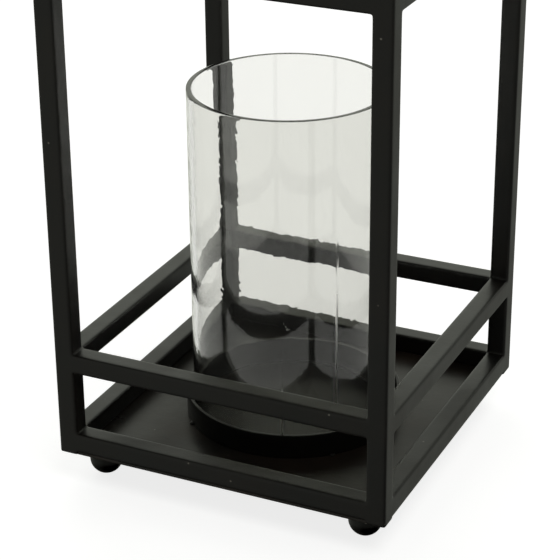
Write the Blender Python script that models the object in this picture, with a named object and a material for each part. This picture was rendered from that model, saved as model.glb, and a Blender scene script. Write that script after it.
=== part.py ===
"""Open-frame candle lantern with a loose glass sleeve, in metres, +Z up.

The cage is square steel tube on a sheet floor with four ball feet. A low ring on the floor keeps the
glass sleeve in its place, and a swinging handle of round bar hangs in two lugs on the side top rails.
The origin is on the surface that the feet stand on, under the middle of the cage. The front faces -Y.
"""

import math

import bmesh
import bpy
from mathutils import Matrix, Vector

# Cage, measured over the tubes.
CAGE_WIDTH = 0.210
CAGE_DEPTH = 0.213
CAGE_HEIGHT = 0.309  # from the underside of the floor sheet to the top of the top rails
MIDDLE_RAIL_RISE = 0.055  # from the underside of the floor sheet to the underside of the middle rails

# Square tube.
TUBE_SIZE = 0.012
TUBE_WALL = 0.0012
TUBE_CORNER = 0.0016
POST_END_ROUNDING = 0.0008

# Floor sheet, welded under the rails and cut out around the posts.
FLOOR_THICKNESS = 0.002
FLOOR_EDGE_ROUNDING = 0.0012
FLOOR_EDGE_SETBACK = 0.0010  # from the rails' outer faces to the sheet's edges

# Ball feet, welded under the floor sheet.
BALL_DIAMETER = 0.020
BALL_WELD_DEPTH = 0.0010  # sunk into the weld at the top of a ball
BALL_TREAD_DEPTH = 0.0001  # worn off where a ball stands
FOOT_INSET = 0.020  # from the cage's outer faces to a ball's centre

# Glass sleeve, open at both ends.
GLASS_DIAMETER = 0.120
GLASS_WALL = 0.003
GLASS_HEIGHT = 0.209
GLASS_RIM_ROUNDING = 0.0010
GLASS_OFFSET_X = -0.0026  # where the loose glass has come to stand in its ring, from the middle of the cage
GLASS_OFFSET_Y = 0.0015

# Ring on the floor around the foot of the glass.
COLLAR_CLEARANCE = 0.004  # between the glass and the ring, all round
COLLAR_WALL = 0.002
COLLAR_HEIGHT = 0.015
COLLAR_EDGE_ROUNDING = 0.0006

# Handle of round bar and the two lugs that it swings in.
HANDLE_BAR = 0.006
HANDLE_EYE_CLEARANCE = 0.0004  # between the bar and its hole, all round
HANDLE_SIDE_CLEARANCE = 0.0006  # between a lug and the bar's shoulder or head
HANDLE_HEAD_DIAMETER = 0.0095
HANDLE_HEAD_LENGTH = 0.0025
HANDLE_LOWER_BEND = 0.006  # bend radii, on the bar's centre line
HANDLE_UPPER_BEND = 0.022
LUG_WIDTH = 0.016
LUG_THICKNESS = 0.003
LUG_EYE_RISE = 0.012  # from the rail's top face to the middle of the eye

TOUCH_GAP = 0.0003  # left between solids that touch

CORNER_STEPS = 4
EDGE_STEPS = 3
ROUND_SEGMENTS = 72
BALL_SEGMENTS = 24
BALL_RINGS = 12
BAR_SEGMENTS = 14
BEND_STEPS = 8
SMOOTH_ANGLE = math.radians(40)

# Places that follow from the sizes above.
BALL_RADIUS = BALL_DIAMETER / 2
BALL_WELD_RISE = BALL_RADIUS - BALL_WELD_DEPTH
BALL_TREAD_DROP = BALL_RADIUS - BALL_TREAD_DEPTH
FLOOR_UNDERSIDE = BALL_TREAD_DROP + BALL_WELD_RISE + TOUCH_GAP
FLOOR_TOP = FLOOR_UNDERSIDE + FLOOR_THICKNESS
CAGE_TOP = FLOOR_UNDERSIDE + CAGE_HEIGHT
ON_THE_FLOOR = FLOOR_TOP + TOUCH_GAP
HANDLE_AXIS_HEIGHT = CAGE_TOP + LUG_EYE_RISE
POST_X = (CAGE_WIDTH - TUBE_SIZE) / 2
POST_Y = (CAGE_DEPTH - TUBE_SIZE) / 2

SIDES_X = {"left": -1, "right": 1}
SIDES_Y = {"front": -1, "back": 1}


def clear_scene():
    for old in list(bpy.data.objects):
        bpy.data.objects.remove(old, do_unlink=True)


def srgb(hex_colour):
    """Linear RGB of an sRGB colour written as six hex digits."""
    values = [int(hex_colour[i : i + 2], 16) / 255 for i in (0, 2, 4)]
    return [v / 12.92 if v <= 0.04045 else ((v + 0.055) / 1.055) ** 2.4 for v in values]


def principled(name, hex_colour, roughness, metallic=0.0, transmission=0.0, ior=1.5):
    material = bpy.data.materials.new(name)
    material.use_nodes = True
    shader = material.node_tree.nodes["Principled BSDF"]
    shader.inputs["Base Color"].default_value = (*srgb(hex_colour), 1.0)
    shader.inputs["Roughness"].default_value = roughness
    shader.inputs["Metallic"].default_value = metallic
    shader.inputs["Transmission Weight"].default_value = transmission
    shader.inputs["IOR"].default_value = ior
    return material


def loft(rings, closed=False):
    """Mesh through rings with the same number of points: closed into a loop, or capped at both ends."""
    bm = bmesh.new()
    loops = [[bm.verts.new(point) for point in ring] for ring in rings]
    pairs = list(zip(loops, loops[1:]))
    if closed:
        pairs.append((loops[-1], loops[0]))
    else:
        bm.faces.new(loops[0])
        bm.faces.new(loops[-1])
    for lower, upper in pairs:
        for i in range(len(lower)):
            j = (i + 1) % len(lower)
            bm.faces.new((lower[i], lower[j], upper[j], upper[i]))
    bmesh.ops.recalc_face_normals(bm, faces=bm.faces)
    return bm


def finished_mesh(name, bm, material):
    mesh = bpy.data.meshes.new(name)
    bm.to_mesh(mesh)
    bm.free()
    mesh.shade_smooth()
    mesh.set_sharp_from_angle(angle=SMOOTH_ANGLE)
    mesh.materials.append(material)
    return mesh


def place(name, mesh, location, rotation=(0, 0, 0)):
    placed = bpy.data.objects.new(name, mesh)
    placed.location = location
    placed.rotation_euler = rotation
    bpy.context.scene.collection.objects.link(placed)
    return placed


def rounded_rectangle(width, depth, corner, z, inset=0.0):
    """Ring of points around a rectangle with round corners, drawn in by the inset on every side."""
    radius = max(corner - inset, TOUCH_GAP)
    points = []
    for quarter, (sx, sy) in enumerate(((1, 1), (-1, 1), (-1, -1), (1, -1))):
        centre_x = sx * (width / 2 - inset - radius)
        centre_y = sy * (depth / 2 - inset - radius)
        for step in range(CORNER_STEPS + 1):
            angle = (quarter + step / CORNER_STEPS) * math.pi / 2
            x = centre_x + radius * math.cos(angle)
            y = centre_y + radius * math.sin(angle)
            points.append(Vector((x, y, z)))
    return points


def circle(radius, z, segments):
    turn = 2 * math.pi / segments
    return [Vector((radius * math.cos(i * turn), radius * math.sin(i * turn), z)) for i in range(segments)]


def quarter_round(radius):
    """(sideways, upwards) steps around a quarter circle, from the side of an edge to its top."""
    angles = [step / EDGE_STEPS * math.pi / 2 for step in range(EDGE_STEPS + 1)]
    return [(radius * (1 - math.cos(a)), radius * math.sin(a)) for a in angles]


def open_tube_mesh(name, length, material):
    """Square tube along Z around the origin, open at both ends."""
    bore = TUBE_SIZE - 2 * TUBE_WALL
    bore_corner = TUBE_CORNER - TUBE_WALL
    low, high = -length / 2, length / 2
    rings = [
        rounded_rectangle(TUBE_SIZE, TUBE_SIZE, TUBE_CORNER, low),
        rounded_rectangle(TUBE_SIZE, TUBE_SIZE, TUBE_CORNER, high),
        rounded_rectangle(bore, bore, bore_corner, high),
        rounded_rectangle(bore, bore, bore_corner, low),
    ]
    return finished_mesh(name, loft(rings, closed=True), material)


def post_mesh(length, material):
    """Square tube standing on the origin, open below and closed above with a cap ground to a soft edge."""
    bore = TUBE_SIZE - 2 * TUBE_WALL
    bore_corner = TUBE_CORNER - TUBE_WALL
    rings = [
        rounded_rectangle(bore, bore, bore_corner, length - TUBE_WALL),
        rounded_rectangle(bore, bore, bore_corner, 0),
        rounded_rectangle(TUBE_SIZE, TUBE_SIZE, TUBE_CORNER, 0),
    ]
    shoulder = length - POST_END_ROUNDING
    for inward, upward in quarter_round(POST_END_ROUNDING):
        rings.append(rounded_rectangle(TUBE_SIZE, TUBE_SIZE, TUBE_CORNER, shoulder + upward, inward))
    return finished_mesh("post", loft(rings), material)


def build_cage(paint):
    posts = post_mesh(CAGE_HEIGHT, paint)
    for name_y, side_y in SIDES_Y.items():
        for name_x, side_x in SIDES_X.items():
            foot = (side_x * POST_X, side_y * POST_Y, FLOOR_UNDERSIDE)
            place(f"post_{name_y}_{name_x}", posts, foot)

    across_length = CAGE_WIDTH - 2 * (TUBE_SIZE + TOUCH_GAP)
    along_length = CAGE_DEPTH - 2 * (TUBE_SIZE + TOUCH_GAP)
    across = open_tube_mesh("rail_across", across_length, paint)
    along = open_tube_mesh("rail_along", along_length, paint)
    rail_heights = {
        "bottom": ON_THE_FLOOR + TUBE_SIZE / 2,
        "middle": FLOOR_UNDERSIDE + MIDDLE_RAIL_RISE + TUBE_SIZE / 2,
        "top": CAGE_TOP - TUBE_SIZE / 2,
    }
    for level, height in rail_heights.items():
        for name_y, side_y in SIDES_Y.items():
            place(f"{level}_rail_{name_y}", across, (0, side_y * POST_Y, height), (0, math.pi / 2, 0))
        for name_x, side_x in SIDES_X.items():
            place(f"{level}_rail_{name_x}", along, (side_x * POST_X, 0, height), (math.pi / 2, 0, 0))


def floor_outline(z, inset=0.0):
    """Ring of points around the floor sheet, drawn in by the inset on every side."""
    edge_x = CAGE_WIDTH / 2 - FLOOR_EDGE_SETBACK - inset
    edge_y = CAGE_DEPTH / 2 - FLOOR_EDGE_SETBACK - inset
    cutout_x = CAGE_WIDTH / 2 - TUBE_SIZE - TOUCH_GAP - inset
    cutout_y = CAGE_DEPTH / 2 - TUBE_SIZE - TOUCH_GAP - inset
    corner = [(edge_x, cutout_y), (cutout_x, cutout_y), (cutout_x, edge_y)]
    points = []
    for sx, sy in ((1, 1), (-1, 1), (-1, -1), (1, -1)):
        in_order = corner if sx == sy else reversed(corner)
        points += [Vector((sx * x, sy * y, z)) for x, y in in_order]
    return points


def build_floor(paint):
    """Sheet with a soft lower edge."""
    rings = []
    for inward, downward in reversed(quarter_round(FLOOR_EDGE_ROUNDING)):
        rings.append(floor_outline(FLOOR_EDGE_ROUNDING - downward, inward))
    rings.append(floor_outline(FLOOR_THICKNESS))
    place("floor_plate", finished_mesh("floor_plate", loft(rings), paint), (0, 0, FLOOR_UNDERSIDE))


def build_feet(paint):
    """Balls with a small flat where they stand and a larger one where they are welded on."""
    lowest = -math.asin(BALL_TREAD_DROP / BALL_RADIUS)
    highest = math.asin(BALL_WELD_RISE / BALL_RADIUS)
    rings = []
    for step in range(BALL_RINGS + 1):
        latitude = lowest + (highest - lowest) * step / BALL_RINGS
        ring_radius = BALL_RADIUS * math.cos(latitude)
        rings.append(circle(ring_radius, BALL_RADIUS * math.sin(latitude), BALL_SEGMENTS))
    ball = finished_mesh("ball_foot", loft(rings), paint)
    for name_y, side_y in SIDES_Y.items():
        for name_x, side_x in SIDES_X.items():
            x = side_x * (CAGE_WIDTH / 2 - FOOT_INSET)
            y = side_y * (CAGE_DEPTH / 2 - FOOT_INSET)
            place(f"ball_foot_{name_y}_{name_x}", ball, (x, y, BALL_TREAD_DROP))


def round_wall_mesh(name, outer_radius, wall, height, rounding, material):
    """Upright round wall standing on the origin, with all four of its edges rounded."""
    inner_radius = outer_radius - wall
    rounds = quarter_round(rounding)
    rings = []
    for inward, upward in rounds:
        rings.append(circle(outer_radius - inward, height - rounding + upward, ROUND_SEGMENTS))
    for inward, upward in reversed(rounds):
        rings.append(circle(inner_radius + inward, height - rounding + upward, ROUND_SEGMENTS))
    for inward, upward in rounds:
        rings.append(circle(inner_radius + inward, rounding - upward, ROUND_SEGMENTS))
    for inward, upward in reversed(rounds):
        rings.append(circle(outer_radius - inward, rounding - upward, ROUND_SEGMENTS))
    return finished_mesh(name, loft(rings, closed=True), material)


def build_collar(paint):
    radius = GLASS_DIAMETER / 2 + COLLAR_CLEARANCE + COLLAR_WALL
    strip = (radius, COLLAR_WALL, COLLAR_HEIGHT, COLLAR_EDGE_ROUNDING)
    place("glass_collar", round_wall_mesh("glass_collar", *strip, paint), (0, 0, ON_THE_FLOOR))


def build_glass(glass):
    """The sleeve's origin is on the line that it slides along."""
    sleeve = (GLASS_DIAMETER / 2, GLASS_WALL, GLASS_HEIGHT, GLASS_RIM_ROUNDING)
    foot = (GLASS_OFFSET_X, GLASS_OFFSET_Y, ON_THE_FLOOR)
    place("glass_sleeve", round_wall_mesh("glass_sleeve", *sleeve, glass), foot)


def build_lugs(paint):
    """Plates with a round top and an eye for the handle, standing on the side top rails."""
    top_radius = LUG_WIDTH / 2
    base = TOUCH_GAP - LUG_EYE_RISE
    half_turn = [step / ROUND_SEGMENTS * 2 * math.pi for step in range(ROUND_SEGMENTS // 2 + 1)]
    outline = [(top_radius * math.cos(a), top_radius * math.sin(a)) for a in half_turn]
    outline += [(-top_radius, base), (top_radius, base)]
    rings = [[Vector((x, y, z)) for y, z in outline] for x in (-LUG_THICKNESS / 2, LUG_THICKNESS / 2)]
    plate = finished_mesh("handle_lug", loft(rings), paint)

    eye = bmesh.new()
    along_x = Matrix.Rotation(math.pi / 2, 4, "Y")
    eye_radius = HANDLE_BAR / 2 + HANDLE_EYE_CLEARANCE
    bmesh.ops.create_cone(
        eye,
        cap_ends=True,
        segments=ROUND_SEGMENTS // 2,
        radius1=eye_radius,
        radius2=eye_radius,
        depth=2 * LUG_THICKNESS,
        matrix=along_x,
    )
    eye_mesh = finished_mesh("lug_eye", eye, paint)
    for name_x, side_x in SIDES_X.items():
        centre = (side_x * POST_X, 0, HANDLE_AXIS_HEIGHT)
        cutter = place(f"lug_eye_{name_x}", eye_mesh, centre)
        cutter.hide_render = True
        cutter.display_type = "WIRE"
        lug = place(f"handle_lug_{name_x}", plate, centre)
        cut = lug.modifiers.new("eye", "BOOLEAN")
        cut.object = cutter


def arc(centre_x, centre_z, radius, start, end):
    """Points on an arc in the XZ plane, as (x, z)."""
    angles = [start + (end - start) * step / BEND_STEPS for step in range(BEND_STEPS + 1)]
    return [(centre_x + radius * math.cos(a), centre_z + radius * math.sin(a)) for a in angles]


def handle_half_route():
    """Stations (x, z, bar radius) of the right half, from the head outside the lug to the upper bend."""
    bar = HANDLE_BAR / 2
    head = HANDLE_HEAD_DIAMETER / 2
    head_inner = POST_X + LUG_THICKNESS / 2 + HANDLE_SIDE_CLEARANCE
    head_outer = head_inner + HANDLE_HEAD_LENGTH
    leg_x = POST_X - LUG_THICKNESS / 2 - HANDLE_SIDE_CLEARANCE - HANDLE_LOWER_BEND
    # Laid over, the grip lies along the middle of the front or the back top rail.
    grip_rise = math.hypot(POST_Y, LUG_EYE_RISE - bar)
    lower_bend = arc(leg_x + HANDLE_LOWER_BEND, HANDLE_LOWER_BEND, HANDLE_LOWER_BEND, -math.pi / 2, -math.pi)
    upper_centre = (leg_x - HANDLE_UPPER_BEND, grip_rise - HANDLE_UPPER_BEND)
    upper_bend = arc(*upper_centre, HANDLE_UPPER_BEND, 0, math.pi / 2)
    stations = [(head_outer, 0, head), (head_inner, 0, head), (head_inner, 0, bar)]
    return stations + [(x, z, bar) for x, z in lower_bend + upper_bend]


def direction_at(points, index):
    """Unit direction of a route past one of its points, looking beyond repeats of that point."""
    here = points[index]
    ahead = next((point for point in points[index + 1 :] if point != here), here)
    behind = next((point for point in reversed(points[:index]) if point != here), here)
    return (ahead - behind).normalized()


def build_handle(paint):
    """Round bar swept along its route. Its origin is on the line through the two eyes."""
    right = handle_half_route()
    route = right + [(-x, z, radius) for x, z, radius in reversed(right)]
    centres = [Vector((x, 0, z)) for x, z, _ in route]
    turn = 2 * math.pi / BAR_SEGMENTS
    side = Vector((0, 1, 0))
    rings = []
    for index, (_, _, radius) in enumerate(route):
        across = direction_at(centres, index).cross(side)
        offsets = [side * math.cos(i * turn) + across * math.sin(i * turn) for i in range(BAR_SEGMENTS)]
        rings.append([centres[index] + radius * offset for offset in offsets])
    handle = finished_mesh("carrying_handle", loft(rings), paint)
    place("carrying_handle", handle, (0, 0, HANDLE_AXIS_HEIGHT))


clear_scene()
build_cage(principled("cage_paint", "20201E", 0.42))
build_floor(principled("floor_paint", "2A2926", 0.38))
build_feet(principled("foot_paint", "1E1E1C", 0.42))
build_collar(principled("collar_paint", "1C1C1A", 0.45))
build_glass(principled("clear_glass", "F2F7F3", 0.02, transmission=1.0, ior=1.52))
build_lugs(principled("lug_paint", "20201E", 0.42))
build_handle(principled("handle_paint", "20201E", 0.42))
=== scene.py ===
# %% [markdown]
# # A candle lantern of square steel tube
# The real lantern is a welded cage of 12 mm square tube on a sheet floor with four ball feet. A glass sleeve
# stands loose in a low ring on the floor, and a round bar handle swings in two lugs on top.
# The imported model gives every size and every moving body, so it is loaded first and the looks are built
# around it: a piece takes its place from the CAD, and rides on the body that carries it.

import math
import random

import bmesh
import bpy
from mathutils import Matrix, Vector, noise


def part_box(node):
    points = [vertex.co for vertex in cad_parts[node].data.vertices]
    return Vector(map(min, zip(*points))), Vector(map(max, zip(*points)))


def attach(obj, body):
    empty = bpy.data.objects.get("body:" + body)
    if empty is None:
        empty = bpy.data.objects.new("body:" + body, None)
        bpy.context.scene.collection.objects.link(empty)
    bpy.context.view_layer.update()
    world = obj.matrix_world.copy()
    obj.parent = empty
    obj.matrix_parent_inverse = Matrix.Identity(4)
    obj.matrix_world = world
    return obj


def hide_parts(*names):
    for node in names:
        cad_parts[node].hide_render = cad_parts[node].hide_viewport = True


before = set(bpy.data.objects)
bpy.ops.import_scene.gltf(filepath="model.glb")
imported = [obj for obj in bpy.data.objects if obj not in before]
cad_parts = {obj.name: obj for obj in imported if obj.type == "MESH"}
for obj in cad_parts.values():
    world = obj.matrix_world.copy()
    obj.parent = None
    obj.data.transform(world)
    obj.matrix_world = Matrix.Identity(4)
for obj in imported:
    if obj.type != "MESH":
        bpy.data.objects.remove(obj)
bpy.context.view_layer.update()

# %% [markdown]
# ## Sizes
# The cage's faces, rails and floor all follow from a few boxes of the CAD nodes. Lengths are in metres, and
# one millimetre gets a name, so that small real sizes read as a maker would say them.

# %% Measure the cage
MM = 0.001
post_low, post_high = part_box("post_front_left")
# A hundredth of a millimetre under the CAD, so that no rounding carries the skin outside it.
outer_x, outer_y = -post_low.x - 0.01 * MM, -post_low.y - 0.01 * MM
inner_x, inner_y = -post_high.x, -post_high.y
tube = outer_x - inner_x
cage_foot, cage_top = post_low.z, post_high.z
sheet_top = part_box("floor_plate")[1].z
rail_heights = {level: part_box(f"{level}_rail_front") for level in ("bottom", "middle", "top")}
rail_heights = {level: (low.z, high.z) for level, (low, high) in rail_heights.items()}
# The CAD keeps a hair's gap over the sheet; the real rails are welded straight onto it.
rail_heights["bottom"] = (sheet_top, rail_heights["bottom"][1])
print(f"cage {2000 * outer_x:.0f} x {2000 * outer_y:.0f} mm over the tubes, which are {tube / MM:.0f} mm")

# %% [markdown]
# ## Colour
# Paint and glass colours are written as the hex values a colour chart would give. Blender's shaders work
# in linear light, so one function makes the change.


# %% From a chart colour to linear light
def linear(hex_colour):
    channels = [int(hex_colour[i : i + 2], 16) / 255 for i in (0, 2, 4)]
    return (*(c / 12.92 if c <= 0.04045 else ((c + 0.055) / 1.055) ** 2.4 for c in channels), 1.0)


print("mid grey 808080 in linear light:", [round(c, 3) for c in linear("808080")[:3]])

# %% [markdown]
# ## One helper for nodes
# A material is a small network. This helper adds any one node, sets its options, and fills its sockets: a
# socket's value is a number or colour, or another node's output to link from.


# %% Add a node with its settings and links
def add_node(tree, kind, options=None, sockets=None):
    node = tree.nodes.new(kind)
    for name, value in (options or {}).items():
        setattr(node, name, value)
    for key, value in (sockets or {}).items():
        if isinstance(value, bpy.types.NodeSocket):
            tree.links.new(value, node.inputs[key])
        else:
            node.inputs[key].default_value = value
    return node


def empty_material(name):
    material = bpy.data.materials.new(name)
    material.use_nodes = True
    material.node_tree.nodes.clear()
    return material


print("a material starts as an empty network, such as", empty_material("trial").name)
bpy.data.materials.remove(bpy.data.materials["trial"])

# %% [markdown]
# ## The camera
# A product picture of a small lantern is taken from a little over a metre with a long lens, slightly above
# and to the right of the front. Aim and roll are set by building the camera's own axes: where it looks,
# what is level for it, and a very small turn about the line of sight.

# %% Stand the camera up
camera_data = bpy.data.cameras.new("camera")
camera_data.lens = 126.8
camera_data.sensor_width = 36
camera = bpy.data.objects.new("camera", camera_data)
bpy.context.scene.collection.objects.link(camera)
camera_place = Vector((0.4525, -0.9801, 0.6143))
camera_aim = Vector((-0.0071, -0.0033, 0.1073))
camera_roll = math.radians(-0.449)

forward = (camera_aim - camera_place).normalized()
level = forward.cross(Vector((0, 0, 1))).normalized()
right = Matrix.Rotation(-camera_roll, 3, forward) @ level
upward = right.cross(forward)
turned = Matrix((right, upward, -forward)).transposed()
camera.matrix_world = Matrix.Translation(camera_place) @ turned.to_4x4()
bpy.context.scene.camera = camera
camera_slope = math.degrees(math.asin(-forward.z))
print(f"camera {(camera_aim - camera_place).length:.2f} m away, looking down {camera_slope:.1f} deg")

# %% [markdown]
# ## The studio
# The lantern stands on a wide pale floor. Satin black paint has almost no colour of its own: what shows is
# the room mirrored in it. So the room is a soft, slightly warm grey, brighter low behind the lantern on the
# left, where a large diffuser would stand. It is dark overhead and dark underneath, which draws a thin dark
# line along each rounded edge, and a grey screen low on the right keeps the glass from mirroring too much.
# The floor is a lit table: a white sheet that glows from below, so shadows on it stay faint. Two large
# softboxes hang above it and are kept weak, because the room and the table already give most of the light.

# %% Pale floor
FLOOR_REACH = 6.0  # metres from the middle to each side
TABLE_GLOW = 0.80
floor_material = empty_material("matt_white_acrylic_lit_table")
tree = floor_material.node_tree
table = add_node(
    tree,
    "ShaderNodeBsdfPrincipled",
    sockets={
        "Base Color": linear("B3B3B2"),
        "Roughness": 0.9,
        "Specular IOR Level": 0.1,
        "Emission Color": linear("FFFFFF"),
        "Emission Strength": TABLE_GLOW,
    },
)
add_node(tree, "ShaderNodeOutputMaterial", sockets={"Surface": table.outputs["BSDF"]})

floor_mesh = bpy.data.meshes.new("studio_floor")
floor_shape = bmesh.new()
bmesh.ops.create_grid(floor_shape, x_segments=8, y_segments=8, size=FLOOR_REACH)
floor_shape.to_mesh(floor_mesh)
floor_shape.free()
studio_floor = bpy.data.objects.new("studio_floor", floor_mesh)
bpy.context.scene.collection.objects.link(studio_floor)
floor_mesh.materials.append(floor_material)
studio_floor.visible_glossy = False
print(f"floor {2 * FLOOR_REACH:.0f} m across; shiny paint mirrors the room and not the table")

# %% Room light
# Brightness of the room by height: -1 is straight down, 0 is level and 1 is straight up.
ROOM_BRIGHTNESS = {-1.0: 0.02, -0.75: 0.03, -0.5: 0.34, 0.0: 0.36, 0.4: 0.30, 0.8: 0.10}
TOWARD_DIFFUSER = Vector((-0.42, 0.84, 0.34)).normalized()
TOWARD_SCREEN = Vector((0.785, -0.453, -0.42)).normalized()
room = bpy.data.worlds.new("studio_room")
bpy.context.scene.world = room
room.use_nodes = True
room.node_tree.nodes.clear()
tree = room.node_tree
toward = add_node(tree, "ShaderNodeTexCoord")
glow = add_node(
    tree,
    "ShaderNodeVectorMath",
    {"operation": "DOT_PRODUCT"},
    {0: toward.outputs["Generated"], 1: TOWARD_DIFFUSER},
)
diffuser = add_node(
    tree,
    "ShaderNodeMapRange",
    {"interpolation_type": "SMOOTHSTEP"},
    {"Value": glow.outputs["Value"], "From Min": 0.5, "From Max": 0.98, "To Min": 0.0, "To Max": 0.68},
)
height = add_node(tree, "ShaderNodeSeparateXYZ", sockets={0: toward.outputs["Generated"]})
share = add_node(
    tree, "ShaderNodeMapRange", sockets={"Value": height.outputs["Z"], "From Min": -1.0, "From Max": 1.0}
)
walls = add_node(tree, "ShaderNodeValToRGB", sockets={"Fac": share.outputs["Result"]})
stops = walls.color_ramp.elements
while len(stops) < len(ROOM_BRIGHTNESS):
    stops.new(0.5)
for stop, (z, grey) in zip(stops, ROOM_BRIGHTNESS.items()):
    stop.position = (z + 1) / 2
    stop.color = (grey, grey, grey, 1.0)
toward_screen = add_node(
    tree,
    "ShaderNodeVectorMath",
    {"operation": "DOT_PRODUCT"},
    {0: toward.outputs["Generated"], 1: TOWARD_SCREEN},
)
grey_screen = add_node(
    tree,
    "ShaderNodeMapRange",
    {"interpolation_type": "SMOOTHSTEP"},
    {
        "Value": toward_screen.outputs["Value"],
        "From Min": 0.2,
        "From Max": 0.75,
        "To Min": 0.0,
        "To Max": -0.17,
    },
)
screened = add_node(
    tree,
    "ShaderNodeMath",
    {"operation": "ADD"},
    {0: grey_screen.outputs["Result"], 1: walls.outputs["Color"]},
)
brightness = add_node(
    tree,
    "ShaderNodeMath",
    {"operation": "ADD"},
    {0: diffuser.outputs["Result"], 1: screened.outputs["Value"]},
)
sky = add_node(
    tree,
    "ShaderNodeBackground",
    sockets={"Color": linear("FAFEF0"), "Strength": brightness.outputs["Value"]},
)
add_node(tree, "ShaderNodeOutputWorld", sockets={"Surface": sky.outputs["Background"]})
print("room brightness by height:", ROOM_BRIGHTNESS)


# %% Two large softboxes
SOFTBOX_SIZE = 1.6  # metres across


def softbox(name, place, watts, aim=(0, 0, 0.1)):
    """A round soft lamp that polished faces and clear glass don't show as a bright spot."""
    data = bpy.data.lights.new(name, "AREA")
    data.shape = "DISK"
    data.size = SOFTBOX_SIZE
    data.energy = watts
    lamp = bpy.data.objects.new(name, data)
    bpy.context.scene.collection.objects.link(lamp)
    lamp.location = place
    lamp.rotation_euler = (Vector(aim) - Vector(place)).to_track_quat("-Z", "Y").to_euler()
    lamp.visible_glossy = False
    lamp.visible_transmission = False


softbox("softbox_over_right", (0.9, -0.5, 2.2), 16)
softbox("softbox_back_left", (-1.2, 1.6, 1.5), 12)
scene = bpy.context.scene
scene.view_settings.view_transform = "Standard"
scene.view_settings.look = "None"

# %% [markdown]
# ## Satin black paint on steel
# The cage is powder coated: dry paint is sprayed on, then melted in an oven, so it flows into a skin about
# 0.08 mm thick. That leaves a fine orange peel, waves 1 to 3 mm long that blur what the paint mirrors, a few
# dust nibs under a millimetre across, a little pale lint, and a black that turns slightly brown where the
# coat is thin. Powder coat's index of refraction is about 1.5. A used, slightly dusty skin mirrors a little
# less than that, so each finish has a value from 1.38 to 1.45. The roughness is that of a satin finish.


# %% Paint recipe
NIB_RADIUS_MM = 0.35
FLECK_RADIUS_MM = (0.4, 0.75)  # where a fleck of lint begins to fade, and where it ends


def satin_paint(name, black, brown, roughness, ior=1.45, peel_mm=2.2, nib_spacing_mm=9.0):
    material = empty_material(name)
    tree = material.node_tree
    place = add_node(tree, "ShaderNodeTexCoord").outputs["Object"]

    # Thin and thick coat, in clouds a few centimetres across.
    clouds = add_node(
        tree,
        "ShaderNodeTexNoise",
        sockets={"Vector": place, "Scale": 1 / (35 * MM), "Detail": 3.0, "Roughness": 0.55},
    )
    coat = add_node(
        tree,
        "ShaderNodeMapRange",
        sockets={"Value": clouds.outputs["Fac"], "From Min": 0.35, "From Max": 0.7},
    )
    colour = add_node(
        tree,
        "ShaderNodeMix",
        {"data_type": "RGBA"},
        {"Factor": coat.outputs["Result"], 6: linear(black), 7: linear(brown)},
    )

    # Dust under the paint: one possible nib in each cell, and only a small dot of it stands up.
    dust = add_node(
        tree,
        "ShaderNodeTexVoronoi",
        {"feature": "F1"},
        {"Vector": place, "Scale": 1 / (nib_spacing_mm * MM)},
    )
    nibs = add_node(
        tree,
        "ShaderNodeMapRange",
        {"interpolation_type": "SMOOTHSTEP"},
        {
            "Value": dust.outputs["Distance"],
            "From Min": 0.0,
            "From Max": NIB_RADIUS_MM / nib_spacing_mm,
            "To Min": 1.0,
            "To Max": 0.0,
        },
    )

    # One cell in six has a fleck of pale lint lying on the paint there instead.
    cell = add_node(tree, "ShaderNodeSeparateColor", sockets={"Color": dust.outputs["Color"]})
    chosen = add_node(
        tree, "ShaderNodeMath", {"operation": "GREATER_THAN"}, {0: cell.outputs["Red"], 1: 0.84}
    )
    fleck = add_node(
        tree,
        "ShaderNodeMapRange",
        sockets={
            "Value": dust.outputs["Distance"],
            "From Min": FLECK_RADIUS_MM[0] / nib_spacing_mm,
            "From Max": FLECK_RADIUS_MM[1] / nib_spacing_mm,
            "To Min": 1.0,
            "To Max": 0.0,
        },
    )
    lint = add_node(
        tree,
        "ShaderNodeMath",
        {"operation": "MULTIPLY"},
        {0: chosen.outputs["Value"], 1: fleck.outputs["Result"]},
    )
    dusted = add_node(
        tree,
        "ShaderNodeMix",
        {"data_type": "RGBA"},
        {"Factor": lint.outputs["Value"], 6: colour.outputs["Result"], 7: linear("5A564E")},
    )

    # Orange peel, and a slower wave from the rolled steel under it.
    peel = add_node(
        tree,
        "ShaderNodeTexNoise",
        sockets={"Vector": place, "Scale": 1 / (peel_mm * MM), "Detail": 2.0, "Roughness": 0.6},
    )
    wave = add_node(
        tree,
        "ShaderNodeTexNoise",
        sockets={"Vector": place, "Scale": 1 / (16 * MM), "Detail": 1.0, "Roughness": 0.4},
    )
    peel_bump = add_node(
        tree,
        "ShaderNodeBump",
        sockets={"Height": peel.outputs["Fac"], "Strength": 0.5, "Distance": 0.10 * MM},
    )
    wave_bump = add_node(
        tree,
        "ShaderNodeBump",
        sockets={
            "Height": wave.outputs["Fac"],
            "Strength": 0.35,
            "Distance": 0.5 * MM,
            "Normal": peel_bump.outputs["Normal"],
        },
    )
    nib_bump = add_node(
        tree,
        "ShaderNodeBump",
        sockets={
            "Height": nibs.outputs["Result"],
            "Strength": 0.8,
            "Distance": 0.12 * MM,
            "Normal": wave_bump.outputs["Normal"],
        },
    )

    # The sheen is uneven by a few hundredths, and duller where the coat is thin.
    sheen = add_node(
        tree,
        "ShaderNodeMapRange",
        sockets={
            "Value": clouds.outputs["Fac"],
            "From Min": 0.3,
            "From Max": 0.7,
            "To Min": roughness - 0.04,
            "To Max": roughness + 0.06,
        },
    )
    shader = add_node(
        tree,
        "ShaderNodeBsdfPrincipled",
        sockets={
            "Base Color": dusted.outputs["Result"],
            "Roughness": sheen.outputs["Result"],
            "IOR": ior,
            "Normal": nib_bump.outputs["Normal"],
        },
    )
    add_node(tree, "ShaderNodeOutputMaterial", sockets={"Surface": shader.outputs["BSDF"]})
    return material


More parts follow.
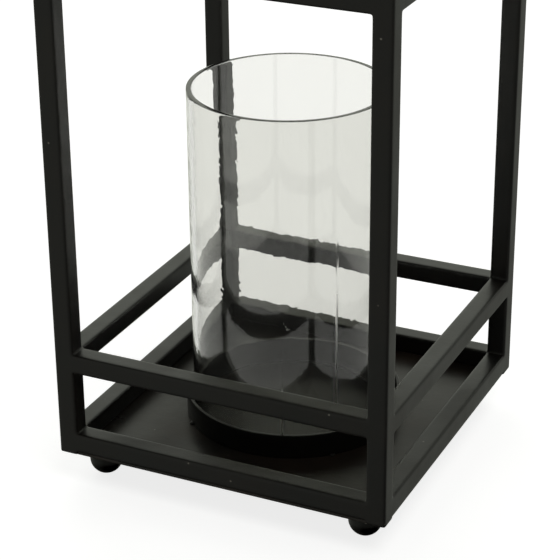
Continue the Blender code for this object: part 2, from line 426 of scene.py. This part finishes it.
tube_paint = satin_paint("satin_black_powder_coat_on_tube", "0C0C0B", "14110E", 0.36)
print("paint made:", tube_paint.name)

# %% [markdown]
# ## Putting a piece in place
# Every piece goes through the same last steps: its mesh gets a material and smooth shading, it rides on its
# body, and the CAD node that it stands for is hidden.


# %% Finish a piece
def finish_piece(name, mesh, material, body, node, sharp_degrees=60):
    mesh.materials.clear()
    mesh.materials.append(material)
    mesh.shade_smooth()
    mesh.set_sharp_from_angle(angle=math.radians(sharp_degrees))
    piece = bpy.data.objects.new(name, mesh)
    bpy.context.scene.collection.objects.link(piece)
    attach(piece, body)
    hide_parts(node)
    return piece


def mesh_from(name, bm):
    bmesh.ops.recalc_face_normals(bm, faces=bm.faces)
    mesh = bpy.data.meshes.new(name)
    bm.to_mesh(mesh)
    bm.free()
    return mesh


print("helpers ready")

# %% [markdown]
# ## The cage
# The tubes are welded and the joints ground flush, so the front faces run on without a seam, every long
# edge is rounded, and each inner corner has a small fillet of weld. Building sixteen separate tubes would
# leave a groove at each joint. Instead the whole cage is one skin of quads around the filled cells of a
# grid. The grid has extra lines close to each edge, and subdivision then rounds the edges between those
# lines, outside corners and weld fillets alike. Afterwards the skin is cut into posts and rails.

# %% Grid lines
EDGE_SUPPORT = 2.3 * MM  # subdivision turns this into a rounding of about 1.3 mm
WELD_REACH = 9 * MM  # how far a post keeps the ends of its rails


def with_support(faces, extra):
    """Grid lines at each face, one on either side of it, and the extra ones."""
    lines = set()
    for face in faces:
        lines.update((face - EDGE_SUPPORT, face, face + EDGE_SUPPORT))
    lines.update(extra)
    return lines


def plan_lines(outer, inner):
    """Lines across the cage, mirrored about its middle."""
    cut = inner - WELD_REACH
    half = with_support((inner,), (cut, cut - 6 * MM, inner * 0.55, inner * 0.3))
    half |= {outer, outer - EDGE_SUPPORT}
    return sorted({round(side * line, 6) for line in half for side in (-1, 1)} | {0.0})


x_lines = plan_lines(outer_x, inner_x)
y_lines = plan_lines(outer_y, inner_y)
z_lines = {cage_foot, sheet_top, sheet_top + EDGE_SUPPORT, cage_top, cage_top - EDGE_SUPPORT}
for level, (low, high) in rail_heights.items():
    z_lines |= with_support([face for face in (low, high) if sheet_top < face < cage_top], ())
clear_low, clear_high = rail_heights["middle"][1], rail_heights["top"][0]
z_lines |= {clear_low + (clear_high - clear_low) * share for share in (0.1, 0.3, 0.5, 0.7, 0.9)}
z_lines.add((rail_heights["bottom"][1] + rail_heights["middle"][0]) / 2)
z_lines = sorted({round(line, 6) for line in z_lines})
print("grid lines:", len(x_lines), len(y_lines), len(z_lines))


# %% Which cells are steel, and which piece they belong to
def steel_at(x, y, z):
    """Name of the cage piece at a point, or nothing in the open air."""
    at_x, at_y = abs(x) > inner_x, abs(y) > inner_y
    level = next((n for n, (low, high) in rail_heights.items() if low < z < high), None)
    if at_x and at_y:
        steel = True
    else:
        steel = level is not None and (at_x or at_y)
    if not steel:
        return None
    near_x, near_y = abs(x) > inner_x - WELD_REACH, abs(y) > inner_y - WELD_REACH
    side_x = "right" if x > 0 else "left"
    side_y = "back" if y > 0 else "front"
    if near_x and near_y:
        return f"post_{side_y}_{side_x}"
    return f"{level}_rail_{side_y if at_y else side_x}"


cage_names = sorted(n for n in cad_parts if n.startswith("post_") or "_rail_" in n)
print("cage pieces:", len(cage_names))


# %% Skin around the steel cells
def grid_skin(lines, piece_at, names):
    """Closed mesh of quads around the filled cells. A face's material index is its piece's place in names."""
    bm = bmesh.new()
    corners = {}

    def corner(i, j, k):
        if (i, j, k) not in corners:
            corners[i, j, k] = bm.verts.new((lines[0][i], lines[1][j], lines[2][k]))
        return corners[i, j, k]

    counts = [len(axis) - 1 for axis in lines]
    middles = [[(a + b) / 2 for a, b in zip(axis, axis[1:])] for axis in lines]
    cells = {}
    for i in range(counts[0]):
        for j in range(counts[1]):
            for k in range(counts[2]):
                owner = piece_at(middles[0][i], middles[1][j], middles[2][k])
                if owner:
                    cells[i, j, k] = owner
    for (i, j, k), owner in cells.items():
        for axis in range(3):
            for step in (0, 1):
                beside = [i, j, k]
                beside[axis] += 1 if step else -1
                if tuple(beside) in cells:
                    continue
                quad = []
                for u, v in ((0, 0), (1, 0), (1, 1), (0, 1)):
                    place = [i, j, k]
                    place[axis] += step
                    place[(axis + 1) % 3] += u
                    place[(axis + 2) % 3] += v
                    quad.append(corner(*place))
                face = bm.faces.new(quad if step else reversed(quad))
                face.material_index = names.index(owner)
    return bm


skin = grid_skin((x_lines, y_lines, z_lines), steel_at, cage_names)
print("skin before rounding:", len(skin.faces), "faces")


# %% Round it by subdivision and cut it into pieces
def subdivided(bm, levels):
    """The mesh after Catmull-Clark subdivision, as a new bmesh."""
    rough = bpy.data.meshes.new("rough")
    bm.to_mesh(rough)
    bm.free()
    holder = bpy.data.objects.new("rough", rough)
    bpy.context.scene.collection.objects.link(holder)
    rounding = holder.modifiers.new("rounding", "SUBSURF")
    rounding.levels = levels
    bpy.context.view_layer.update()
    evaluated = holder.evaluated_get(bpy.context.evaluated_depsgraph_get())
    smooth = bmesh.new()
    smooth.from_mesh(evaluated.to_mesh())
    evaluated.to_mesh_clear()
    bpy.data.objects.remove(holder)
    bpy.data.meshes.remove(rough)
    return smooth


rounded = subdivided(skin, 2)
for index, name in enumerate(cage_names):
    part = rounded.copy()
    others = [face for face in part.faces if face.material_index != index]
    bmesh.ops.delete(part, geom=others, context="FACES")
    open_edges = [edge for edge in part.edges if edge.is_boundary]
    bmesh.ops.holes_fill(part, edges=open_edges, sides=0)
    for face in part.faces:
        face.material_index = 0
    finish_piece(f"{name}_tube", mesh_from(f"{name}_tube", part), tube_paint, "cage", name)
print("cage faces after rounding:", len(rounded.faces))
rounded.free()

# %% [markdown]
# ## Turned shapes
# The ring, the glass and the ball feet are all round about an upright axis. A short outline is turned
# around that axis. A small wander in the radius, different at each angle and height, keeps a hand made or
# drawn piece from looking like a perfect computer shape.


# %% Turn an outline
def turned_shape(outline, angles, wander=None, closed=True):
    """Quads around Z through (radius, height) points. The outline is a loop, or runs from axis to axis."""
    bm = bmesh.new()
    segments = len(angles)
    rings = []
    for radius, z in outline:
        ring = []
        for angle in angles:
            r = radius + (wander(angle, radius, z) if wander else 0.0)
            ring.append(bm.verts.new((r * math.cos(angle), r * math.sin(angle), z)))
        rings.append(ring)
    pairs = list(zip(rings, rings[1:]))
    if closed:
        pairs.append((rings[-1], rings[0]))
    else:
        bm.faces.new(rings[0])
        bm.faces.new(rings[-1])
    for lower, upper in pairs:
        for i in range(segments):
            j = (i + 1) % segments
            bm.faces.new((lower[i], lower[j], upper[j], upper[i]))
    return bm


def even_angles(count):
    return [2 * math.pi * i / count for i in range(count)]


def rounded_wall(outer, wall, low, high, rounding, rows=1, steps=5):
    """Outline of an upright wall with all four of its edges rounded, outside face first, going up."""
    inner = outer - wall
    corners = [
        (outer - rounding, low + rounding, -90),
        (outer - rounding, high - rounding, 0),
        (inner + rounding, high - rounding, 90),
        (inner + rounding, low + rounding, 180),
    ]
    points = []
    for index, (r, z, start) in enumerate(corners):
        for step in range(steps + 1):
            angle = math.radians(start + 90 * step / steps)
            points.append((r + rounding * math.cos(angle), z + rounding * math.sin(angle)))
        if index % 2 == 0:
            rise = high - low - 2 * rounding
            side = points[-1][0]
            first = points[-1][1]
            direction = 1 if index == 0 else -1
            points += [(side, first + direction * rise * row / rows) for row in range(1, rows)]
    return points


print("outline of a wall has", len(rounded_wall(0.06, 0.003, 0, 0.2, 0.001)), "points")

# %% [markdown]
# ## The floor sheet
# A 2 mm sheet is cut out around the posts and welded under the rails, its edge a millimetre back from their
# faces, so a fine dark line shows under each rail. Rolled sheet that has been welded at its edges is never
# quite flat, so its inner area lifts and sinks by a few hundredths of a millimetre, which bends what it
# mirrors. It is the same paint, a little smoother, since powder flows best on a level face.

# %% Floor sheet
sheet_paint = satin_paint("satin_black_powder_coat_on_sheet", "12100E", "211A15", 0.31, ior=1.42, peel_mm=3.0)
sheet_low, sheet_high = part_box("floor_plate")
SHEET_SOFTNESS = 0.7 * MM
SHEET_WAVE = 0.12 * MM
SHEET_SAG = 0.06 * MM
ARM_OVERLAP = 0.8 * MM  # the sheet's arms run into the rounded foot of each post, where the weld is
arm_x = inner_x + ARM_OVERLAP
arm_y = inner_y + ARM_OVERLAP


def sheet_lines(edge, arm):
    even = [arm * step / 18 for step in range(-17, 18)]
    rim = [side * (line - back) for side in (-1, 1) for line in (edge, arm) for back in (0, SHEET_SOFTNESS)]
    return sorted({round(line, 6) for line in even + rim})


def in_sheet(x, y, z):
    return "floor" if abs(x) < arm_x or abs(y) < arm_y else None


sheet_levels = [sheet_low.z, sheet_low.z + SHEET_SOFTNESS, sheet_high.z - SHEET_SOFTNESS, sheet_high.z]
sheet_grid = (sheet_lines(sheet_high.x, arm_x), sheet_lines(sheet_high.y, arm_y), sheet_levels)
sheet = subdivided(grid_skin(sheet_grid, in_sheet, ["floor"]), 1)
for point in sheet.verts:
    calm = max(0.0, 1 - max(abs(point.co.x) / inner_x, abs(point.co.y) / inner_y)) ** 0.5
    point.co.z += SHEET_WAVE * calm * noise.noise(point.co / (45 * MM)) - SHEET_SAG * calm
sheet_mesh = mesh_from("floor_sheet", sheet)
finish_piece("floor_sheet", sheet_mesh, sheet_paint, "cage", "floor_plate")
print("floor sheet faces:", len(sheet_mesh.polygons))

# %% [markdown]
# ## The ring around the glass
# A strip 2 mm thick is rolled into a hoop, butt welded, ground and tacked to the floor. A rolled hoop is a
# tenth of a millimetre out of round, and the ground weld leaves a flat there. Four little tacks hold it.

# %% Ring
ring_paint = satin_paint("satin_black_powder_coat_on_rolled_strip", "080807", "0E0C0A", 0.30)
ring_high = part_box("glass_collar")[1]
ring_radius = ring_high.x
RING_WALL = 2 * MM
RING_EDGE = 0.35 * MM
OUT_OF_ROUND = 0.05 * MM
SEAM_ANGLE = math.radians(118)


def ring_wander(angle, radius, z):
    oval = -OUT_OF_ROUND + OUT_OF_ROUND * math.cos(2 * angle + 0.6)
    off_seam = abs((angle - SEAM_ANGLE + math.pi) % (2 * math.pi) - math.pi)
    ground_flat = -0.10 * MM * math.exp(-((off_seam * ring_radius / (2.5 * MM)) ** 2))
    return oval + ground_flat


outline = rounded_wall(ring_radius, RING_WALL, sheet_high.z, ring_high.z, RING_EDGE, rows=4)
ring = turned_shape(outline, even_angles(240), ring_wander)


def weld_tack(bm, place, size, seed):
    """A flattened, lumpy bead pressed onto the steel."""
    made = bmesh.ops.create_uvsphere(bm, u_segments=20, v_segments=12, radius=1.0)["verts"]
    for point in made:
        lump = 1 + 0.12 * noise.noise(point.co * 1.7 + Vector((seed, 0, 0)))
        point.co = Vector(place) + Vector([c * s * lump for c, s in zip(point.co, size)])


for quarter in range(4):
    angle = math.radians(45 + 90 * quarter)
    reach = ring_radius - 0.2 * MM
    place = (reach * math.cos(angle), reach * math.sin(angle), sheet_high.z + 0.2 * MM)
    weld_tack(ring, place, (1.9 * MM, 1.9 * MM, 1.1 * MM), quarter)
finish_piece("glass_ring", mesh_from("glass_ring", ring), ring_paint, "cage", "glass_collar")
print(f"ring {2 * ring_radius / MM:.0f} mm across, {(ring_high.z - sheet_high.z) / MM:.1f} mm high")

# %% [markdown]
# ## Clear glass
# The sleeve is soda lime glass, drawn as a tube, cut, ground flat and passed through a flame, which takes the
# sharpness off its rims. Its index of refraction is 1.52. Iron in the sand gives it a faint grey green, which
# shows where light runs a long way inside it: at the rims and down both sides. So part of the tint is an
# absorption inside the wall. The rest is a light grey at its faces, for the film of soot and dust that a
# lantern's glass soon has, and one hundredth of the light scatters there. Drawing leaves slow upright
# streaks, and the puller's small changes of speed leave bands about a centimetre apart, so posts seen
# through it look slightly ragged. Two scuffed draw lines and a few seeds, bubbles well under a millimetre,
# stay in the wall.

# %% Measures of the glass
glass_low, glass_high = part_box("glass_sleeve")
glass_middle = (glass_low + glass_high) / 2
glass_radius = (glass_high.x - glass_low.x) / 2
GLASS_WALL = 3 * MM
GLASS_RIM = 0.35 * MM  # rounding that the flame leaves
# Draw lines: where each is around the glass, how high up it starts to show, and how far it stands out.
DRAW_LINES = [(-38.3, 160 * MM, 0.16 * MM), (-69.9, 100 * MM, 0.10 * MM)]
DRAW_LINE_HALF_WIDTH = 0.75 * MM
DRAW_LINE_FADE = 70 * MM
print(f"glass {2 * glass_radius / MM:.0f} mm across, {(glass_high.z - glass_low.z) / MM:.0f} mm high")

# %% Glass material
glass_material = empty_material("clear_soda_lime_glass_drawn")
tree = glass_material.node_tree
place = add_node(tree, "ShaderNodeTexCoord").outputs["Object"]
streaks = add_node(
    tree,
    "ShaderNodeTexNoise",
    sockets={
        "Vector": add_node(
            tree, "ShaderNodeMapping", sockets={"Vector": place, "Scale": (1.0, 1.0, 0.12)}
        ).outputs["Vector"],
        "Scale": 1 / (14 * MM),
        "Detail": 1.0,
    },
)
streak_bump = add_node(
    tree,
    "ShaderNodeBump",
    sockets={"Height": streaks.outputs["Fac"], "Strength": 0.5, "Distance": 0.08 * MM},
)
ripple = add_node(
    tree,
    "ShaderNodeTexNoise",
    sockets={"Vector": place, "Scale": 1 / (7 * MM), "Detail": 2.0, "Roughness": 0.45},
)
ripple_bump = add_node(
    tree,
    "ShaderNodeBump",
    sockets={
        "Height": ripple.outputs["Fac"],
        "Strength": 1.0,
        "Distance": 0.05 * MM,
        "Normal": streak_bump.outputs["Normal"],
    },
)
handled = add_node(
    tree,
    "ShaderNodeTexNoise",
    sockets={"Vector": place, "Scale": 1 / (28 * MM), "Detail": 4.0},
)
haze = add_node(
    tree,
    "ShaderNodeMapRange",
    sockets={
        "Value": handled.outputs["Fac"],
        "From Min": 0.45,
        "From Max": 0.75,
        "To Min": 0.0,
        "To Max": 0.02,
    },
)

# A draw line is scuffed by the die that scored it, so it scatters light: a frosted hairline, fading upwards.
flat_place = add_node(tree, "ShaderNodeVectorMath", {"operation": "MULTIPLY"}, {0: place, 1: (1, 1, 0)})
rise = add_node(tree, "ShaderNodeSeparateXYZ", sockets={0: place})
roughness = haze.outputs["Result"]
for line_degrees, line_top, _ in DRAW_LINES:
    angle = math.radians(line_degrees)
    foot_x = glass_middle.x + glass_radius * math.cos(angle)
    foot_y = glass_middle.y + glass_radius * math.sin(angle)
    away = add_node(
        tree,
        "ShaderNodeVectorMath",
        {"operation": "DISTANCE"},
        {0: flat_place.outputs[0], 1: (foot_x, foot_y, 0)},
    )
    scuffed = add_node(
        tree,
        "ShaderNodeMapRange",
        sockets={
            "Value": away.outputs["Value"],
            "From Min": 0.45 * MM,
            "From Max": 0.85 * MM,
            "To Min": 0.5,
            "To Max": 0.0,
        },
    )
    fading = add_node(
        tree,
        "ShaderNodeMapRange",
        sockets={
            "Value": rise.outputs["Z"],
            "From Min": line_top - DRAW_LINE_FADE,
            "From Max": line_top,
            "To Min": 1.0,
            "To Max": 0.0,
        },
    )
    roughness = add_node(
        tree,
        "ShaderNodeMath",
        {"operation": "MULTIPLY_ADD"},
        {0: scuffed.outputs["Result"], 1: fading.outputs["Result"], 2: roughness},
    ).outputs["Value"]
shader = add_node(
    tree,
    "ShaderNodeBsdfPrincipled",
    sockets={
        "Base Color": linear("EEEEEB"),
        "Roughness": roughness,
        "IOR": 1.52,
        "Transmission Weight": 0.99,
        "Normal": ripple_bump.outputs["Normal"],
    },
)
tint = add_node(
    tree,
    "ShaderNodeVolumeAbsorption",
    sockets={"Color": linear("8C9C84"), "Density": 4.0},
)
add_node(
    tree,
    "ShaderNodeOutputMaterial",
    sockets={"Surface": shader.outputs["BSDF"], "Volume": tint.outputs["Volume"]},
)
print("glass made:", glass_material.name)

# %% Glass sleeve
STREAK_DEPTH = 0.05 * MM
BAND_DEPTH = 0.018 * MM
SLIMMING = 0.10 * MM  # room for the streaks and bands inside the real diameter


def glass_wander(angle, radius, z):
    inside = radius < glass_radius - GLASS_WALL / 2
    around = Vector((math.cos(angle), math.sin(angle), 0)) * 2.2
    streak = STREAK_DEPTH * noise.noise(around + Vector((0, 0, z / (90 * MM) + (7.3 if inside else 0))))
    band = BAND_DEPTH * noise.noise(Vector((z / (7 * MM), around.x * 0.35, around.y * 0.35 + inside * 5)))
    clear_of_rim = max(0.0, min(1.0, min(z - glass_low.z, glass_high.z - z) / (6 * MM)))
    ridge = 0.0
    for line_degrees, line_top, proud in () if inside else DRAW_LINES:
        beside = (angle - math.radians(line_degrees) + math.pi) % (2 * math.pi) - math.pi
        across = beside * radius / DRAW_LINE_HALF_WIDTH
        fade = min(1.0, max(0.0, (line_top - z) / (40 * MM)))
        ridge += proud * fade * math.sqrt(max(0.0, 1 - across * across))
    return (streak + band + ridge) * clear_of_rim - SLIMMING


# Extra upright lines of vertices shape each ridge, closest where it rises from the wall.
RIDGE_SHARES = (-2.1, -1.5, -1.15, -1.0, -0.93, -0.75, -0.45, 0.0, 0.45, 0.75, 0.93, 1.0, 1.15, 1.5, 2.1)
glass_angles = even_angles(200)
for line_degrees, _, _ in DRAW_LINES:
    for share in RIDGE_SHARES:
        turn = math.radians(line_degrees) + share * DRAW_LINE_HALF_WIDTH / glass_radius
        glass_angles.append(turn % (2 * math.pi))
glass_angles.sort()
outline = rounded_wall(glass_radius, GLASS_WALL, glass_low.z, glass_high.z, GLASS_RIM, rows=88)
sleeve = turned_shape(outline, glass_angles, glass_wander)
bmesh.ops.recalc_face_normals(sleeve, faces=sleeve.faces)


def add_seed(bm, angle, z, size):
    """A bubble in the wall: a small closed shell whose faces look inwards, at the air in it."""
    made = bmesh.ops.create_uvsphere(bm, u_segments=12, v_segments=8, radius=size)["verts"]
    reach = glass_radius - GLASS_WALL / 2
    for point in made:
        point.co = Vector((point.co.x, point.co.y, point.co.z * 1.6))
        point.co += Vector((reach * math.cos(angle), reach * math.sin(angle), z))
    faces = {face for point in made for face in point.link_faces}
    bmesh.ops.reverse_faces(bm, faces=list(faces))


# A string of four seeds low on the front, one more above it, and a few strays. Each has its angle in
# degrees, and its height above the glass's foot and its size in millimetres.
SEEDS = [(-69, 84, 0.30), (-67.5, 82, 0.36), (-67, 80, 0.46), (-66, 80.5, 0.26), (-74.8, 142, 0.40)]
for degrees, rise, size in SEEDS:
    add_seed(sleeve, math.radians(degrees), glass_low.z + rise * MM, size * MM)
seeds = random.Random(12)
for _ in range(6):
    seed_height = seeds.uniform(glass_low.z + 15 * MM, glass_high.z - 15 * MM)
    add_seed(sleeve, seeds.uniform(0, 2 * math.pi), seed_height, seeds.uniform(0.2, 0.36) * MM)
bmesh.ops.translate(sleeve, verts=sleeve.verts, vec=(glass_middle.x, glass_middle.y, 0))
sleeve_mesh = bpy.data.meshes.new("glass_tube")
sleeve.to_mesh(sleeve_mesh)
sleeve.free()
glass_tube = finish_piece("glass_tube", sleeve_mesh, glass_material, "glass", "glass_sleeve")
print("glass sleeve faces:", len(glass_tube.data.polygons))

# %% [markdown]
# ## Ball feet
# Solid steel balls 20 mm across are welded under the floor sheet. A bead of weld runs around the top of
# each, its surface in the small overlapping scales that a hand held torch leaves, and where the ball
# stands, the paint has worn through to a grey spot.

# %% Paint worn through at the foot
foot_paint = satin_paint("satin_black_powder_coat_on_steel_ball", "080807", "0D0B08", 0.33, ior=1.38)
tree = foot_paint.node_tree
shader = next(n for n in tree.nodes if n.type == "BSDF_PRINCIPLED")
painted = shader.inputs["Base Color"].links[0].from_socket
height = add_node(
    tree,
    "ShaderNodeSeparateXYZ",
    sockets={0: add_node(tree, "ShaderNodeTexCoord").outputs["Object"]},
)
ragged = add_node(tree, "ShaderNodeTexNoise", sockets={"Scale": 1 / (1.1 * MM), "Detail": 2.0})
tree.links.new(add_node(tree, "ShaderNodeTexCoord").outputs["Object"], ragged.inputs["Vector"])
edge = add_node(
    tree,
    "ShaderNodeMath",
    {"operation": "MULTIPLY_ADD"},
    {0: ragged.outputs["Fac"], 1: -0.5 * MM, 2: height.outputs["Z"]},
)
worn = add_node(
    tree,
    "ShaderNodeMapRange",
    sockets={
        "Value": edge.outputs["Value"],
        "From Min": -0.18 * MM,
        "From Max": -0.05 * MM,
        "To Min": 1.0,
        "To Max": 0.0,
    },
)
mix = add_node(
    tree,
    "ShaderNodeMix",
    {"data_type": "RGBA"},
    {"Factor": worn.outputs["Result"], 6: painted, 7: linear("8A8783")},
)
tree.links.new(mix.outputs["Result"], shader.inputs["Base Color"])
tree.links.new(worn.outputs["Result"], shader.inputs["Metallic"])
print("worn spot up to about 0.2 mm above the ground")

# %% Balls with their weld beads
TREAD_RADIUS = 1.41 * MM  # of the flat spot that a ball stands on
BEAD_MIDDLE = 5.3 * MM  # from the ball's axis
BEAD_HALF_WIDTH = 1.5 * MM
BEAD_HALF_HEIGHT = 0.88 * MM
for node in sorted(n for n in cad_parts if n.startswith("ball_foot_")):
    low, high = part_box(node)
    middle_x, middle_y = (low.x + high.x) / 2, (low.y + high.y) / 2
    radius = (high.x - low.x) / 2
    middle_z = low.z + math.sqrt(radius**2 - TREAD_RADIUS**2)
    lowest = -math.asin((middle_z - low.z) / radius)
    highest = math.asin((high.z - middle_z) / radius)
    outline = []
    for step in range(37):
        latitude = lowest + (highest - lowest) * step / 36
        outline.append((radius * math.cos(latitude), middle_z + radius * math.sin(latitude)))
    ball = turned_shape(outline, even_angles(64), closed=False)
    bead_z = cage_foot - 0.9 * MM
    bead = []
    for step in range(14):
        angle = 2 * math.pi * step / 14
        bead_radius = BEAD_MIDDLE + BEAD_HALF_WIDTH * math.cos(angle)
        bead.append((bead_radius, bead_z + BEAD_HALF_HEIGHT * math.sin(angle)))

    def scales(angle, r, z):
        ripple = 0.14 * MM * math.sin(angle * 20 + 2.5 * math.sin(angle * 3 + middle_x * 50))
        return ripple if r > BEAD_MIDDLE else 0.0

    weld = turned_shape(bead, even_angles(160), scales)
    weld_mesh = mesh_from("weld", weld)
    ball.from_mesh(weld_mesh)
    bpy.data.meshes.remove(weld_mesh)
    bmesh.ops.translate(ball, verts=ball.verts, vec=(middle_x, middle_y, 0))
    finish_piece(node + "_ball", mesh_from(node + "_ball", ball), foot_paint, "cage", node)
print(f"ball feet {2 * radius / MM:.0f} mm across")

# %% [markdown]
# ## Lugs
# Each lug is a 3 mm plate with a round top, standing on a side rail with a weld along its foot. Its eye is
# drilled, so the hole has a small chamfer. The plate is drawn as two loops, one around the outside and
# one around the eye, and a bevel takes the cut edges off.

# %% Lugs
lug_paint = satin_paint("satin_black_powder_coat_on_lug_plate", "0C0C0B", "14110E", 0.36)
LUG_STEPS = 64
EYE_RADIUS = 3.4 * MM
LUG_CHAMFER = 0.4 * MM
for side in ("left", "right"):
    low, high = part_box(f"handle_lug_{side}")
    top_radius = (high.y - low.y) / 2
    eye_z = high.z - top_radius
    base_z = cage_top
    edge_loop, eye_loop = [], []
    for step in range(LUG_STEPS):
        angle = 2 * math.pi * (step + 0.5) / LUG_STEPS
        y, z = math.cos(angle), math.sin(angle)
        eye_loop.append((EYE_RADIUS * y, EYE_RADIUS * z))
        if z >= 0:
            edge_loop.append((top_radius * y, top_radius * z))
        else:
            reach = min(top_radius / max(abs(y), 1e-6), (eye_z - base_z) / abs(z))
            edge_loop.append((reach * y, reach * z))
    lug = bmesh.new()
    loops = []
    for x, loop in ((low.x, edge_loop), (high.x, edge_loop), (high.x, eye_loop), (low.x, eye_loop)):
        loops.append([lug.verts.new((x, y, z + eye_z)) for y, z in loop])
    for first, second in zip(loops, loops[1:] + loops[:1]):
        for i in range(LUG_STEPS):
            j = (i + 1) % LUG_STEPS
            lug.faces.new((first[i], first[j], second[j], second[i]))
    bmesh.ops.recalc_face_normals(lug, faces=lug.faces)
    cut_edges = [e for e in lug.edges if e.calc_face_angle() > math.radians(50)]
    bmesh.ops.bevel(lug, geom=cut_edges, offset=LUG_CHAMFER, segments=3, profile=0.5, affect="EDGES")
    for face_x, outward in ((low.x, -1), (high.x, 1)):
        for step in range(9):
            bead_y = (step - 4) * 1.75 * MM
            place = (face_x + outward * 0.2 * MM, bead_y, base_z + 0.35 * MM)
            weld_tack(lug, place, (1.5 * MM, 1.35 * MM, 1.3 * MM), step * 1.3 + outward)
    lug_mesh = mesh_from(f"lug_{side}", lug)
    finish_piece(f"lug_{side}", lug_mesh, lug_paint, "cage", f"handle_lug_{side}", 45)
print(f"lugs {2 * top_radius / MM:.0f} mm wide, eye {2 * EYE_RADIUS / MM:.1f} mm")

# %% [markdown]
# ## The handle
# A 6 mm bar is bent around formers: out through each eye, up beside the lug and over in two wide bends.
# Its ends are upset into round heads, hammered against a bolster while hot, so that it can't slip out. The
# bar is a chain of round sections set square to its route.

# %% Route of the handle
handle_low, handle_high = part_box("carrying_handle")
BAR_RADIUS = 3 * MM
LOWER_BEND = 6 * MM
UPPER_BEND = 22 * MM
HEAD_LENGTH = 2.5 * MM
HEAD_DOME = 1.1 * MM
HEAD_SHOULDER = 0.3 * MM
LEG_CLEARANCE = 0.6 * MM  # between a leg of the handle and its lug
head_radius = handle_high.y
axis_z = handle_low.z + head_radius
grip_z = handle_high.z - BAR_RADIUS
leg_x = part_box("handle_lug_right")[0].x - LEG_CLEARANCE - LOWER_BEND
head_inner = handle_high.x - HEAD_LENGTH


def bend(centre_x, centre_z, radius, start, end, steps):
    angles = [math.radians(start + (end - start) * step / steps) for step in range(steps + 1)]
    return [(centre_x + radius * math.cos(a), centre_z + radius * math.sin(a)) for a in angles]


route = []
for share in range(7):
    # The head: a dome at its outer end, a soft shoulder at its inner one.
    angle = math.radians(90 * share / 6)
    dome = max(0.05, math.sin(angle)) ** 0.8
    route.append((handle_high.x - HEAD_DOME * (1 - math.cos(angle)), axis_z, head_radius * dome))
route.append((head_inner + HEAD_SHOULDER, axis_z, head_radius))
route.append((head_inner, axis_z, head_radius - HEAD_SHOULDER))
route.append((head_inner, axis_z, BAR_RADIUS))
foot_bend = bend(leg_x + LOWER_BEND, axis_z + LOWER_BEND, LOWER_BEND, -90, -180, 12)
grip_bend = bend(leg_x - UPPER_BEND, grip_z - UPPER_BEND, UPPER_BEND, 0, 90, 28)
route += [(x, z, BAR_RADIUS) for x, z in foot_bend]
first, last = foot_bend[-1], grip_bend[0]
for step in range(1, 8):
    route.append((first[0], first[1] + (last[1] - first[1]) * step / 8, BAR_RADIUS))
route += [(x, z, BAR_RADIUS) for x, z in grip_bend]
route += [(grip_bend[-1][0] * (1 - step / 6), grip_bend[-1][1], BAR_RADIUS) for step in range(1, 6)]
full_route = route + [(0, grip_z, BAR_RADIUS)] + [(-x, z, r) for x, z, r in reversed(route)]
print("handle route:", len(full_route), "sections")

# %% Sweep the bar along it
handle_paint = satin_paint("satin_black_powder_coat_on_bent_bar", "0B0B0A", "15110D", 0.34)
BAR_SIDES = 32
bar = bmesh.new()
rings = []
for index, (x, z, radius) in enumerate(full_route):
    here = Vector((x, 0, z))
    ahead = next((Vector((a, 0, b)) for a, b, _ in full_route[index + 1 :] if (a, b) != (x, z)), here)
    behind = next((Vector((a, 0, b)) for a, b, _ in reversed(full_route[:index]) if (a, b) != (x, z)), here)
    across = (ahead - behind).normalized().cross(Vector((0, 1, 0)))
    ring = []
    for side in range(BAR_SIDES):
        angle = 2 * math.pi * side / BAR_SIDES
        hammer = 1 - 0.008 * (1 + noise.noise(Vector((x, math.cos(angle) * 0.01, z)) / (9 * MM)))
        offset = Vector((0, 1, 0)) * math.cos(angle) + across * math.sin(angle)
        ring.append(bar.verts.new(here + offset * radius * hammer))
    rings.append(ring)
bar.faces.new(rings[0])
bar.faces.new(rings[-1])
for first, second in zip(rings, rings[1:]):
    for i in range(BAR_SIDES):
        j = (i + 1) % BAR_SIDES
        bar.faces.new((first[i], first[j], second[j], second[i]))
handle_mesh = mesh_from("handle_bar", bar)
finish_piece("handle_bar", handle_mesh, handle_paint, "handle", "carrying_handle", 50)
print(f"handle stands {(handle_high.z - cage_top) / MM:.0f} mm over the cage")
